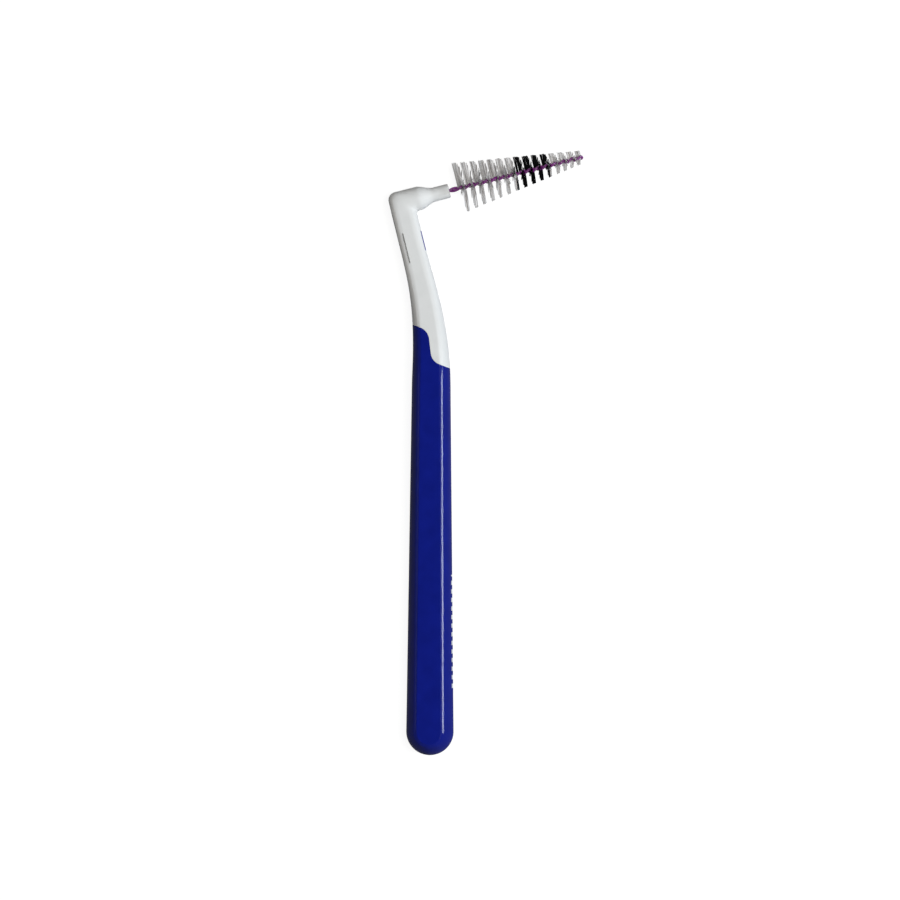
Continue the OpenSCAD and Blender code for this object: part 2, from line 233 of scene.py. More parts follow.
def seam_y(x, path):
    """Height of the seam over the butt, at x in plan."""
    for (ax, ay), (bx, by) in zip(path, path[1:]):
        if x <= bx:
            return mix(ay, by, (x - ax) / (bx - ax))


def on_plan(s, x):
    """The place in plan of a point x in front of the middle line at s."""
    a = lean_at(s)
    mx, my = middle_line(s)
    return mx + x * math.cos(a), my + x * math.sin(a)


def seam_columns(plan):
    """Distance s and offset x of every column where it meets the seam."""
    def edge_column(step, side):
        """Where a column of the crown or crease meets the seam."""
        s = SEAM_FRONT_Y if side > 0 else SEAM_BACK_Y
        for _ in range(SOLVING_STEPS):
            x = side * (half_sizes(s)[0] - inset_of(step, s))
            px, py = on_plan(s, x)
            s += seam_y(px, plan) - py
        return s, x

    front, back = edge_column(EDGE_STEPS, 1), edge_column(EDGE_STEPS, -1)
    x0, x1 = on_plan(*front)[0], on_plan(*back)[0]
    path = [p for p in plan[::-1] if x1 < p[0] < x0]
    path = [(x0, seam_y(x0, plan))] + path + [(x1, seam_y(x1, plan))]
    run = [0.0]
    for a, b in zip(path, path[1:]):
        run.append(run[-1] + math.dist(a, b))
    flats = []
    for k in range(1, 2 * FLAT_STEPS):
        want = run[-1] * k / (2 * FLAT_STEPS)
        i = next(i for i, r in enumerate(run) if r >= want) - 1
        t = (want - run[i]) / (run[i + 1] - run[i])
        px, py = mix(path[i][0], path[i + 1][0], t), mix(path[i][1], path[i + 1][1], t)
        s, x = py, px
        for _ in range(SOLVING_STEPS):
            qx, qy = on_plan(s, x)
            s, x = s + py - qy, x + px - qx
        flats.append((s, x))
    columns = []
    for step, side, _ in COLUMNS:
        if step <= EDGE_STEPS:
            columns.append(edge_column(step, side))
        else:
            k = step - EDGE_STEPS if side > 0 else 2 * FLAT_STEPS - (step - EDGE_STEPS)
            columns.append(flats[k - 1])
    return columns


def between(s_level, columns, t):
    """A ring t of the way from the level ring at s_level to the seam."""
    wide = half_sizes(s_level)[0]
    ring = []
    for (step, side, half), (s_seam, x_seam) in zip(COLUMNS, columns):
        s = mix(s_level, s_seam, t)
        if step <= EDGE_STEPS:
            inset = inset_of(step, s)
            x = side * (half_sizes(s)[0] - inset)
        else:
            x = mix(side * (wide - inset_of(step, s_level)), x_seam, t)
            inset = half_sizes(s)[0] - abs(x)
        ring.append(across(s, x, half * height_of(inset, s)))
    return ring


TANG_W, TANG_T, TANG_END_Y = 3.4, 3.0, 16.0
TANG_RINGS_Y, TANG_ROUND_STEPS = (60.0, 40.0), 8


def tang_rings(columns, plan, gap):
    """Rings of the tang, or of its pocket, from the seam down to the end."""
    wide, thick = TANG_W / 2 + gap, TANG_T / 2 + gap
    at_seam = []
    for (step, side, half), (s, x) in zip(COLUMNS, columns):
        px, py = on_plan(s, x)
        if step <= EDGE_STEPS:
            px, z = side * wide, thick * step / EDGE_STEPS
            py = seam_y(px, plan)
        else:
            z = thick
            edge = columns[EDGE_STEPS] if px > 0 else columns[2 * QUARTER - EDGE_STEPS]
            px *= wide / abs(on_plan(*edge)[0])
            py = seam_y(px, plan)
        at_seam.append((px, py, half * z))
    round_y = TANG_END_Y + TANG_W / 2
    rings = [[from_butt(*p) for p in at_seam]]
    for y in (*TANG_RINGS_Y, round_y):
        rings.append([from_butt(px, y, z) for px, _, z in at_seam])
    for k in range(1, TANG_ROUND_STEPS + 1):
        a = math.radians(90 * k / TANG_ROUND_STEPS)
        shrink, y = max(math.cos(a), 0.0), round_y - wide * math.sin(a)
        rings.append([from_butt(px * shrink, y, z) for px, _, z in at_seam])
    return rings


def loft(rings):
    """Extrudes a circle of vertices through the rings; returns it and its loops."""
    bm = bmesh.new()
    front = bmesh.ops.create_circle(bm, segments=len(rings[0]), radius=1)["verts"]
    loops = [front]
    for v, place in zip(front, rings[0]):
        v.co = place
    for ring in rings[1:]:
        edges = [bm.edges.get((front[i - 1], front[i])) for i in range(len(front))]
        grown = bmesh.ops.extrude_edge_only(bm, edges=edges)["geom"]
        new = {g for g in grown if isinstance(g, bmesh.types.BMVert)}
        front = [next(e.other_vert(v) for e in v.link_edges if e.other_vert(v) in new)
                 for v in front]
        for v, place in zip(front, ring):
            v.co = place
        loops.append(front)
    return bm, loops


def loop_edges(bm, loop):
    """The edges from vertex to vertex around a loop."""
    return [bm.edges.get((loop[i - 1], loop[i])) for i in range(len(loop))]


def placed(bm, name, material):
    """Makes a mesh an object of the scene."""
    mesh = bpy.data.meshes.new(name)
    bm.to_mesh(mesh)
    bm.free()
    mesh.materials.append(material)
    made = bpy.data.objects.new(name, mesh)
    bpy.context.scene.collection.objects.link(made)
    return made


SAME_POINT, NO_LENGTH = 0.00002, 0.00001


def piece(bm, name, material, sharp_at=35.0):
    """Closes a mesh, turns its faces outwards, and makes it a piece of the brush."""
    bmesh.ops.remove_doubles(bm, verts=bm.verts, dist=SAME_POINT * MM)
    bmesh.ops.dissolve_degenerate(bm, edges=bm.edges, dist=NO_LENGTH * MM)
    bmesh.ops.recalc_face_normals(bm, faces=bm.faces)
    for f in bm.faces:
        f.smooth = True
    for e in bm.edges:
        e.smooth = len(e.link_faces) == 2 and e.calc_face_angle(0) < math.radians(sharp_at)
    return placed(bm, name, material)


def arm_point(u, v, z):
    """A point u along the arm from the middle of the neck, v above its axis."""
    ex, ey = middle_line(PATH_LEN)
    return from_butt(ex + u * math.cos(LEAN) - v * math.sin(LEAN),
                     ey + u * math.sin(LEAN) + v * math.cos(LEAN), z)


ARM_D, ARM_LEN, ARM_TAPER_LEN = 4.2, 8.6, 2.9
NOZZLE_D, NOZZLE_LEN, NOZZLE_BEVEL = 2.5, 2.7, 0.15
ELBOW_R, INNER_R = 1.4, 0.45
BORE_R, BORE_LEN, BORE_BEVEL = 0.5, 3.02, 0.06
ELBOW_STEPS, TAPER_STEPS, BEVEL_STEPS, BEFORE_BEVEL = 22, 12, 3, 0.9


def elbow_and_arm_rings(s_start):
    """Rings that turn the corner on its inner rounding, then run to the nozzle."""
    wide, thick, _, _ = half_sizes(s_start)
    neck_form, round_form = [], []
    for step, side, half in COLUMNS:
        inset = inset_of(step, s_start)
        px, pz = side * (wide - inset) / wide, half * height_of(inset, s_start) / thick
        a = math.atan2(pz, px)
        neck_form.append((px, pz))
        round_form.append((math.cos(a), math.sin(a)))
    arm_r = ARM_D / 2
    pivot_u, pivot_v = wide + INNER_R, -arm_r - INNER_R
    corner_u, corner_v = ELBOW_R - wide, arm_r - ELBOW_R
    rings = []
    for k in range(1, ELBOW_STEPS + 1):
        phi = math.pi - math.pi / 2 * k / ELBOW_STEPS
        du, dv = math.cos(phi), math.sin(phi)
        far = min((pivot_u + wide) / max(-du, 1e-9), (arm_r - pivot_v) / max(dv, 1e-9))
        if pivot_u + far * du < corner_u and pivot_v + far * dv > corner_v:
            cu, cv = pivot_u - corner_u, pivot_v - corner_v
            half_b = cu * du + cv * dv
            far = -half_b + math.sqrt(half_b ** 2 - cu ** 2 - cv ** 2 + ELBOW_R ** 2)
        middle, reach = (INNER_R + far) / 2, (far - INNER_R) / 2
        w = ease(k / ELBOW_STEPS)
        half_z = mix(thick, arm_r, w)
        ring = []
        for (nx, nz), (rx, rz) in zip(neck_form, round_form):
            out = middle - reach * mix(nx, rx, w)
            ring.append(arm_point(pivot_u + out * du, pivot_v + out * dv,
                                  half_z * mix(nz, rz, w)))
        rings.append(ring)

    def round_ring(u, r):
        """A round ring of radius r at u along the arm."""
        return [arm_point(u, -r * rx, r * rz) for rx, rz in round_form]

    taper_start = ARM_LEN - NOZZLE_LEN - ARM_TAPER_LEN
    for k in range(TAPER_STEPS + 1):
        r = mix(ARM_D, NOZZLE_D, ease(k / TAPER_STEPS)) / 2
        rings.append(round_ring(taper_start + ARM_TAPER_LEN * k / TAPER_STEPS, r))
    nozzle_r = NOZZLE_D / 2
    rings.append(round_ring(ARM_LEN - NOZZLE_BEVEL - BEFORE_BEVEL, nozzle_r))
    for k in range(BEVEL_STEPS + 1):
        a = math.radians(90 * k / BEVEL_STEPS)
        rings.append(round_ring(ARM_LEN - NOZZLE_BEVEL * (1 - math.sin(a)),
                                nozzle_r - NOZZLE_BEVEL * (1 - math.cos(a))))
    rings += [round_ring(ARM_LEN, BORE_R + BORE_BEVEL), round_ring(ARM_LEN - BORE_BEVEL, BORE_R),
              round_ring(ARM_LEN - BORE_LEN, BORE_R), round_ring(ARM_LEN - BORE_LEN, 0.0)]
    return rings


def put(tree, kind, inputs=None, **settings):
    """Adds a node; an input that is a socket is linked, any other is set."""
    made = tree.nodes.new(kind)
    for name, value in settings.items():
        setattr(made, name, value)
    for name, value in (inputs or {}).items():
        if isinstance(value, bpy.types.NodeSocket):
            tree.links.new(value, made.inputs[name])
        else:
            made.inputs[name].default_value = value
    return made


def maths(tree, operation, *values):
    """The result of a maths node; each value is a socket or a number."""
    return put(tree, "ShaderNodeMath", dict(enumerate(values)), operation=operation).outputs[0]


def use(tree, group, inputs):
    """Adds a node group with its inputs."""
    return put(tree, "ShaderNodeGroup", inputs, node_tree=group)


def group_of(name, inputs, outputs):
    """An empty node group with named sockets, and its two end nodes."""
    group = bpy.data.node_groups.new(name, "ShaderNodeTree")
    for socket, kind, value in inputs:
        made = group.interface.new_socket(name=socket, in_out="INPUT",
                                          socket_type="NodeSocket" + kind)
        if value is not None:
            made.default_value = value
    for socket, kind in outputs:
        group.interface.new_socket(name=socket, in_out="OUTPUT", socket_type="NodeSocket" + kind)
    return group, group.nodes.new("NodeGroupInput"), group.nodes.new("NodeGroupOutput")


def new_material(name):
    """A material, its nodes and its shader."""
    material = bpy.data.materials.new(name)
    material.use_nodes = True
    return material, material.node_tree, material.node_tree.nodes["Principled BSDF"]


def dress(tree, shader, colour, roughness, height, depth_mm):
    """Leads a colour, a roughness and a relief of that depth into a shader."""
    tree.links.new(colour, shader.inputs["Base Color"])
    tree.links.new(roughness, shader.inputs["Roughness"])
    bump = put(tree, "ShaderNodeBump", {"Height": height, "Distance": depth_mm * MM})
    tree.links.new(bump.outputs["Normal"], shader.inputs["Normal"])


# Moulded plastic: slight clouding of the colour, a fine spark-eroded texture,
# and rubbed patches that are a little smoother.
moulded, m_in, m_out = group_of(
    "moulded plastic",
    [("Vector", "Vector", None), ("Colour", "Color", (1, 1, 1, 1)), ("Clouding", "Float", 0.1),
     ("Roughness", "Float", 0.3), ("Rubbing", "Float", 0.1), ("Grain size mm", "Float", 0.12)],
    [("Colour", "Color"), ("Roughness", "Float"), ("Height", "Float")])
cloud = put(moulded, "ShaderNodeTexNoise",
            {"Vector": m_in.outputs["Vector"], "Scale": 1 / (2.6 * MM), "Detail": 3.0})
cloud_span = put(moulded, "ShaderNodeMapRange", {"Value": cloud.outputs["Fac"], "From Min": 0.3,
                                                 "From Max": 0.7, "To Min": -1.0, "To Max": 1.0})
clouded = maths(moulded, "MULTIPLY_ADD", cloud_span.outputs["Result"], m_in.outputs["Clouding"],
                1.0)
tinted = put(moulded, "ShaderNodeVectorMath", {0: m_in.outputs["Colour"], "Scale": clouded},
             operation="SCALE")
moulded.links.new(tinted.outputs["Vector"], m_out.inputs["Colour"])
rub = put(moulded, "ShaderNodeTexNoise",
          {"Vector": m_in.outputs["Vector"], "Scale": 1 / (0.9 * MM), "Detail": 5.0,
           "Distortion": 0.6})
rub_span = put(moulded, "ShaderNodeMapRange", {"Value": rub.outputs["Fac"], "From Min": 0.35,
                                               "From Max": 0.65, "To Min": -1.0, "To Max": 1.0})
rubbed = maths(moulded, "MULTIPLY_ADD", rub_span.outputs["Result"], m_in.outputs["Rubbing"],
               m_in.outputs["Roughness"])
moulded.links.new(rubbed, m_out.inputs["Roughness"])
per_metre = maths(moulded, "DIVIDE", 1 / MM, m_in.outputs["Grain size mm"])
grain = put(moulded, "ShaderNodeTexNoise",
            {"Vector": m_in.outputs["Vector"], "Scale": per_metre, "Detail": 2.0})
moulded.links.new(grain.outputs["Fac"], m_out.inputs["Height"])


# Ink: a row of plain bars printed on the front edge of the handle.
BEHIND_EDGE = -2.0
printed, p_in, p_out = group_of(
    "printed bars",
    [("Vector", "Vector", None), ("Start mm", "Float", 0.0), ("End mm", "Float", 10.0),
     ("Pitch mm", "Float", 2.0), ("Bar share", "Float", 0.5), ("Half width mm", "Float", 1.0)],
    [("Mask", "Float")])
place = put(printed, "ShaderNodeVectorMath", {0: p_in.outputs["Vector"], "Scale": 1 / MM},
            operation="SCALE")
spot = put(printed, "ShaderNodeSeparateXYZ", {"Vector": place.outputs["Vector"]})
run_y = maths(printed, "SUBTRACT", spot.outputs["Y"], p_in.outputs["Start mm"])
in_pitch = maths(printed, "FRACT", maths(printed, "DIVIDE", run_y, p_in.outputs["Pitch mm"]))
off_z = maths(printed, "ABSOLUTE", maths(printed, "SUBTRACT", spot.outputs["Z"], HANDLE_T / 2))
ink = maths(printed, "LESS_THAN", in_pitch, p_in.outputs["Bar share"])
for part in (maths(printed, "GREATER_THAN", run_y, 0.0),
             maths(printed, "LESS_THAN", spot.outputs["Y"], p_in.outputs["End mm"]),
             maths(printed, "LESS_THAN", off_z, p_in.outputs["Half width mm"]),
             maths(printed, "GREATER_THAN", spot.outputs["X"], BEHIND_EDGE)):
    ink = maths(printed, "MULTIPLY", ink, part)
printed.links.new(ink, p_out.inputs["Mask"])


def plastic(name, colour, bars, clouding, roughness, rubbing, grain_mm, grain_depth_mm, gloss,
            skin):
    """A moulded plastic with its texture and glossy skin, and ink in a row of bars."""
    material, tree, shader = new_material(name)
    where = put(tree, "ShaderNodeTexCoord").outputs["Object"]
    surface = use(tree, moulded,
                  {"Vector": where, "Colour": (*colour, 1), "Clouding": clouding,
                   "Roughness": roughness, "Rubbing": rubbing, "Grain size mm": grain_mm})
    ink_colour, row = bars
    mask = use(tree, printed, {"Vector": where, **row})
    inked = put(tree, "ShaderNodeMix", {0: mask.outputs["Mask"], 6: surface.outputs["Colour"],
                                        7: (*ink_colour, 1)}, data_type="RGBA")
    dress(tree, shader, inked.outputs[2], surface.outputs["Roughness"], surface.outputs["Height"],
          grain_depth_mm)
    shader.inputs["Specular IOR Level"].default_value = gloss
    shader.inputs["Coat Weight"].default_value = skin
    shader.inputs["Coat Roughness"].default_value = 0.08
    return material


white_plastic = plastic(
    "white polypropylene", (0.80, 0.80, 0.79), clouding=0.02, roughness=0.34, rubbing=0.06,
    grain_mm=0.10, grain_depth_mm=0.002, gloss=0.08, skin=0.0,
    bars=((0.01, 0.01, 0.25), {"Start mm": 55.9, "End mm": 59.3, "Pitch mm": 8.0,
                               "Bar share": 0.5, "Half width mm": 1.4}))

# Rings start level above the seam, and close in on it in rows.
NECK_LEVEL, NECK_ROWS, SEAM_ROWS = 79.0, 7, 9
SEAM_ROUND = 0.05
ELBOW_START = PATH_LEN - ARM_D / 2 - INNER_R
GROOVE_START = BEND_Y + BEND_LEN + 2.5
GROOVE_LEN, GROOVE_W, GROOVE_OFF, GROOVE_DEPTH = 5.3, 0.24, 1.08, 0.8
GROOVE_END = GROOVE_START + GROOVE_LEN
GROOVE_ROWS, GROOVE_WALL, PAST_GROOVE, TOWARDS_ELBOW = 5, 0.02, 0.3, 0.6


def round_seam(bm, loop):
    """Rounds the edge of a moulding along the seam."""
    bmesh.ops.bevel(bm, geom=loop_edges(bm, loop), offset=SEAM_ROUND * MM, offset_type="OFFSET",
                    segments=3, profile=0.5, affect="EDGES", material=-1, clamp_overlap=True)


seam_plan = seam_path(0.0)
seam = seam_columns(seam_plan)
neck_rings = tang_rings(seam, seam_plan, 0.0)[::-1]
seam_index = len(neck_rings)
neck_rings += [between(NECK_LEVEL, seam, 1 - k / SEAM_ROWS) for k in range(SEAM_ROWS + 1)]
neck_rings += [section(NECK_LEVEL + k) for k in range(1, NECK_ROWS + 1)]
groove_sides = (NECK_W / 2 - GROOVE_OFF - GROOVE_W / 2, NECK_W / 2 - GROOVE_OFF + GROOVE_W / 2)
groove_index = len(neck_rings)
neck_rings += [section(GROOVE_START + GROOVE_LEN * k / GROOVE_ROWS, groove_sides)
               for k in range(GROOVE_ROWS + 1)]
neck_rings += [section(GROOVE_END + PAST_GROOVE),
               section(mix(GROOVE_END, ELBOW_START, TOWARDS_ELBOW)), section(ELBOW_START)]
neck_rings += elbow_and_arm_rings(ELBOW_START)
bm, loops = loft(neck_rings)
groove_loops = loops[groove_index:groove_index + GROOVE_ROWS + 1]
for half in (1, -1):
    i, j = (COLUMNS.index((step, -1, half)) for step in GROOVE_STEPS)
    faces = []
    for low, high in zip(groove_loops, groove_loops[1:]):
        corners = {low[i], low[j], high[i], high[j]}
        faces += [f for f in low[i].link_faces if set(f.verts) == corners]
    bmesh.ops.inset_region(bm, faces=faces, thickness=GROOVE_WALL * MM, use_even_offset=True,
                           use_boundary=True)
    sunk = {v for f in faces for v in f.verts}
    bmesh.ops.translate(bm, verts=list(sunk), vec=(0, 0, -half * GROOVE_DEPTH * MM))
round_seam(bm, loops[seam_index])
neck = piece(bm, "neck_moulding", white_plastic)
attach(neck, "root")
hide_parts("neck")

# ---------------------------------------------------------------- grip
# The grip is the second shot, a dark blue thermoplastic moulded over the tang.
# It has a flat on each broad side, crowned edges and a round butt, and it ends
# in the curved seam against the neck.
GRIP_LEVEL, SHOT_GAP = 66.0, 0.02
BUTT_ROWS, GRIP_ROWS = 26, 14
blue_plastic = plastic(
    "dark blue grip plastic", (0.006, 0.0125, 0.215), clouding=0.08, roughness=0.17, rubbing=0.02,
    grain_mm=0.16, grain_depth_mm=0.0005, gloss=0.0, skin=0.09,
    bars=((0.75, 0.75, 0.78), {"Start mm": -20.6, "End mm": -0.8, "Pitch mm": 1.5,
                               "Bar share": 0.5, "Half width mm": 1.25}))
seam_plan = seam_path(SHOT_GAP)
seam = seam_columns(seam_plan)
grip_rings = [section(BUTT_R * (1 - math.cos(math.pi / 2 * k / BUTT_ROWS)))
              for k in range(BUTT_ROWS + 1)]
grip_rings += [section(mix(BUTT_R, SHOULDER_Y, k / GRIP_ROWS)) for k in range(1, GRIP_ROWS + 1)]
grip_rings += [section(SHOULDER_Y + 1.0), section(SHOULDER_Y + 2.0)]
grip_rings += [between(GRIP_LEVEL, seam, k / SEAM_ROWS) for k in range(SEAM_ROWS + 1)]
seam_index = len(grip_rings) - 1
grip_rings += tang_rings(seam, seam_plan, SHOT_GAP)
bm, loops = loft(grip_rings)
round_seam(bm, loops[seam_index])
grip = piece(bm, "grip_moulding", blue_plastic)
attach(grip, "root")
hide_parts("grip")

# ---------------------------------------------------------------- wire core
# The core is a stainless wire, folded once at the tip, whose two legs are
# twisted together and pressed into the nozzle. Its coat hides all but its ends.

# A distance along the wire counts from the nozzle's end face. The two legs
# stand the shut gap apart, and the grip gap where they hold a tuft.
CORE_D, COAT_D, CORE_PLAY, CORE_SIDES = 0.3, 0.46, 0.004, 10
TWIST_PITCH, WIRE_OUT, WIRE_ROOT = 3.06, 24.2, 3.0
FIRST_TUFT, TUFT_STEP, TUFTS = 1.89, TWIST_PITCH / 2, 15
FIRST_LOOP_STRETCH = 1.25
SHUT_GAP, GRIP_GAP, GRIP_SHARE, FOLD_PLAY = 0.008, 0.1, 0.6, 0.01
TURN_STEPS, FOLD_STEPS = 24, 10


def turn_at(s):
    """How far the legs have turned at s; the first loop is drawn out."""
    pitch = TWIST_PITCH * (FIRST_LOOP_STRETCH if s < FIRST_TUFT else 1)
    return 2 * math.pi * (s - FIRST_TUFT) / pitch


def leg_r(s):
    """Middle of a leg off the wire's axis; the legs part where they grip a tuft."""
    gap = SHUT_GAP
    if FIRST_TUFT - TUFT_STEP / 2 < s < FIRST_TUFT + (TUFTS - 0.5) * TUFT_STEP:
        gap = mix(SHUT_GAP, GRIP_GAP, ease(GRIP_SHARE + math.cos(2 * turn_at(s))))
    return (COAT_D + gap) / 2


FOLD_R = leg_r(WIRE_OUT)
FOLD_S = WIRE_OUT - FOLD_R - COAT_D / 2 - FOLD_PLAY


def along_filament(s):
    """Direction of a filament that crosses the wire at s."""
    return Vector((math.sin(turn_at(s)), math.cos(turn_at(s)), 0))


def from_leg_to_leg(s):
    """Direction from the wire's axis to one leg at s."""
    return Vector((math.cos(turn_at(s)), -math.sin(turn_at(s)), 0))


def wire_point(p):
    """A point of the nozzle's own frame, z along the wire from its end face."""
    return arm_point(ARM_LEN + p.z, p.y, -p.x)


def wire_rings(r, sides):
    """Rings of a tube out along one leg, round the fold and back along the other."""
    slope = math.atan(2 * math.pi * FOLD_R / TWIST_PITCH)
    steps = round((FOLD_S + WIRE_ROOT) / TWIST_PITCH * TURN_STEPS)
    middles = []
    for side in (1, -1):
        leg = []
        for k in range(steps + 1):
            s = mix(-WIRE_ROOT, FOLD_S, k / steps)
            out = side * from_leg_to_leg(s)
            run = Vector((0, 0, side * math.cos(slope))) - math.sin(slope) * along_filament(s)
            leg.append((leg_r(s) * out + Vector((0, 0, s)), out, run.cross(out)))
        middles += leg if side > 0 else leg[::-1]
        if side > 0:
            for k in range(1, FOLD_STEPS):
                a = math.pi * k / FOLD_STEPS
                out = math.cos(a) * from_leg_to_leg(FOLD_S) + Vector((0, 0, math.sin(a)))
                run = Vector((0, 0, math.cos(a))) - math.sin(a) * from_leg_to_leg(FOLD_S)
                middles.append((FOLD_R * out + Vector((0, 0, FOLD_S)), out, run.cross(out)))
    rings = []
    for middle, out, over in middles:
        rings.append([wire_point(middle + r * (math.cos(2 * math.pi * j / sides) * out
                                               + math.sin(2 * math.pi * j / sides) * over))
                      for j in range(sides)])
    return rings


steel, tree, shader = new_material("drawn stainless wire")
where = put(tree, "ShaderNodeTexCoord").outputs["Object"]
lines = put(tree, "ShaderNodeTexNoise", {"Vector": where, "Scale": 1 / (0.05 * MM), "Detail": 3.0})
steel_rough = put(tree, "ShaderNodeMapRange",
                  {"Value": lines.outputs["Fac"], "To Min": 0.2, "To Max": 0.4})
steel_tone = put(tree, "ShaderNodeMix", {0: lines.outputs["Fac"], 6: (0.50, 0.51, 0.52, 1),
                                         7: (0.62, 0.63, 0.64, 1)}, data_type="RGBA")
dress(tree, shader, steel_tone.outputs[2], steel_rough.outputs["Result"], lines.outputs["Fac"],
      depth_mm=0.001)
shader.inputs["Metallic"].default_value = 1.0
bm, loops = loft(wire_rings(CORE_D / 2 - CORE_PLAY, CORE_SIDES))
for loop in (loops[0], loops[-1]):
    bmesh.ops.contextual_create(bm, geom=loop_edges(bm, loop))
core = piece(bm, "twisted_wire_core", steel, sharp_at=60.0)
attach(core, "root")
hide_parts("wire_core")

# ---------------------------------------------------------------- wire coat
# The coat is a thin purple plastic skin on the whole wire, put on before it is
# folded and twisted. The legs grip the filaments between them.
COAT_SIDES, END_REACH = 12, 1.2
purple_coat, tree, shader = new_material("purple wire coat")
where = put(tree, "ShaderNodeTexCoord").outputs["Object"]
skin = use(tree, moulded, {"Vector": where, "Colour": (0.21, 0.022, 0.22, 1), "Clouding": 0.2,
                           "Roughness": 0.2, "Rubbing": 0.1, "Grain size mm": 0.06})
dress(tree, shader, skin.outputs["Colour"], skin.outputs["Roughness"], skin.outputs["Height"],
      depth_mm=0.002)
bm, _ = loft(wire_rings(COAT_D / 2, COAT_SIDES))
inner_bm, _ = loft(wire_rings(CORE_D / 2, COAT_SIDES))
inner_mesh = bpy.data.meshes.new("inside of the coat")
inner_bm.to_mesh(inner_mesh)
inner_bm.free()
bm.from_mesh(inner_mesh)
bpy.data.meshes.remove(inner_mesh)
open_edges = [e for e in bm.edges if e.is_boundary]
for side in (1, -1):
    end = wire_point(Vector((0, 0, -WIRE_ROOT)) + side * FOLD_R * from_leg_to_leg(-WIRE_ROOT))
    rims = [e for e in open_edges if (e.verts[0].co - end).length < END_REACH * COAT_D / 2 * MM]
    bmesh.ops.bridge_loops(bm, edges=rims)
coat = piece(bm, "twisted_wire_coat", purple_coat, sharp_at=60.0)
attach(coat, "root")
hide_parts("wire_coat")

# ---------------------------------------------------------------- bristles
# The bristles are fine nylon filaments in three groups, pale, black and pale.
# They lie across the wire between its legs, turn with the twist and are
# trimmed to a cone.

# The cone that they are trimmed to, its shift to the upper side, the most that
# a filament reaches out of the broad plane, and the last place of a tip.
BRUSH_BASE_R, BRUSH_TIP_R, TRIM_SHIFT, TRIM_PLAY = 4.6, 1.31, 0.1, 0.01
LOWEST_REACH, LAST_TIP = 3.72, WIRE_OUT - 0.4
BLACK_FROM, PALE_FROM = 6.64, 10.64
# One filament: its sides, the places of its rings, how it thins to its tips,
# and its tone: the least at the root, the share that differs at random with its shade, and the
# painted shade that darkens it at the root and lifts towards its tips.
FILAMENT_D, STRAND_SIDES, TIP_THINNING = 0.085, 5, 0.15
STRAND_SHARES = (-1, -0.66, -0.3, -0.1, 0, 0.1, 0.3, 0.66, 1)
LEAN_POWER, ROOT_BEND, ROOT_OFF = 1.5, 10, 0.3
ROOT_TONE, SHADE_TONE, PAINTED_ROOT_SHADE = 0.1, 0.75, 0.25
# One tuft: how its roots and its upper and lower ends spread along the wire,
# and the share of each side that stands straight before the rest fans out.
TUFT_FILAMENTS, CLUMP_FILAMENTS = 60, 6
ROOT_HALF, ROOT_SHIFT = 0.5, 0.2
UPPER_HALF, UPPER_SHIFT = 0.4, 0.06
UNDER_HALF, UNDER_SHIFT, UNDER_LEAN, FADING_TUFTS = 0.32, 0.76, -0.22, 3
FACING, UPPER_STRAIGHT, UNDER_STRAIGHT, FAN = 8, 0.6, 0.76, 70
FAN_RISE, FULL_RISE = 0.01, 0.46
# Scatter, first of a clump, then of a filament in it, then of the filaments
# that cross the wire between two tufts.
CLUMP_DEPTH, CLUMP_SWING, CLUMP_SWEEP, CLUMP_TRIM = (-0.08, 0.08), (0.85, 1.15), 0.03, (0.965, 1.0)
LOOSE_DEPTH, LOOSE_TURN, LOOSE_BASE, LOOSE_LEAN = (-0.03, 0.03), 3, 0.03, 0.04
LOOSE_TRIM, CLUMP_SHADE = (0.985, 1.0), 0.75
CROSSING_FILAMENTS, CROSSING_PLACE, CROSSING_TURN = 14, (0.38, 0.66), (62, 118)
CROSSING_LEAN, CROSSING_TRIM = 0.15, (0.9, 0.98)


def brush_r(s):
    """Radius of the trimmed cone at s along the wire."""
    return mix(BRUSH_BASE_R, BRUSH_TIP_R, (s - FIRST_TUFT) / ((TUFTS - 1) * TUFT_STEP))


# Filament: tone differs at random from strand to strand, between the colour and a dark painted
# shade colour, and greys towards the root as painted shade where the strands crowd at the wire.
strand_tone, s_in, s_out = group_of(
    "filament",
    [("Colour", "Color", (1, 1, 1, 1)), ("Painted shade", "Color", (0, 0, 0, 1)),
     ("Roughness", "Float", 0.4)],
    [("Colour", "Color"), ("Roughness", "Float")])
tone = put(strand_tone, "ShaderNodeAttribute", attribute_name="tone")
toned = put(strand_tone, "ShaderNodeMix", {0: tone.outputs["Fac"], 6: s_in.outputs["Painted shade"],
                                           7: s_in.outputs["Colour"]}, data_type="RGBA")
strand_tone.links.new(toned.outputs[2], s_out.inputs["Colour"])
smoother = maths(strand_tone, "MULTIPLY_ADD", tone.outputs["Fac"], -0.15, s_in.outputs["Roughness"])
strand_tone.links.new(smoother, s_out.inputs["Roughness"])


def filament_material(name, colour, shade, roughness, gloss, skin):
    """Nylon with a tone for each strand towards a painted shade colour, a fine ripple and a soft
    skin.
    """
    material, tree, shader = new_material(name)
    look = use(tree, strand_tone,
               {"Colour": (*colour, 1), "Painted shade": (*shade, 1), "Roughness": roughness})
    where = put(tree, "ShaderNodeTexCoord").outputs["Object"]
    ripple = put(tree, "ShaderNodeTexNoise",
                 {"Vector": where, "Scale": 1 / (0.03 * MM), "Detail": 2.0})
    dress(tree, shader, look.outputs["Colour"], look.outputs["Roughness"], ripple.outputs["Fac"],
          depth_mm=0.002)
    shader.inputs["Specular IOR Level"].default_value = gloss
    shader.inputs["Coat Weight"].default_value = skin
    shader.inputs["Coat Roughness"].default_value = 0.3
    return material


# The dark second colour of each nylon is painted shade: it greys the strands at random from clump
# to clump, and most at their roots.
pale = filament_material("pale nylon filament", (0.88, 0.86, 0.85), (0.27, 0.255, 0.25),
                         roughness=0.5, gloss=0.4, skin=0.0)
black = filament_material("black nylon filament", (0.008, 0.008, 0.009), (0.002, 0.002, 0.002),
                          roughness=0.5, gloss=0.0, skin=0.06)

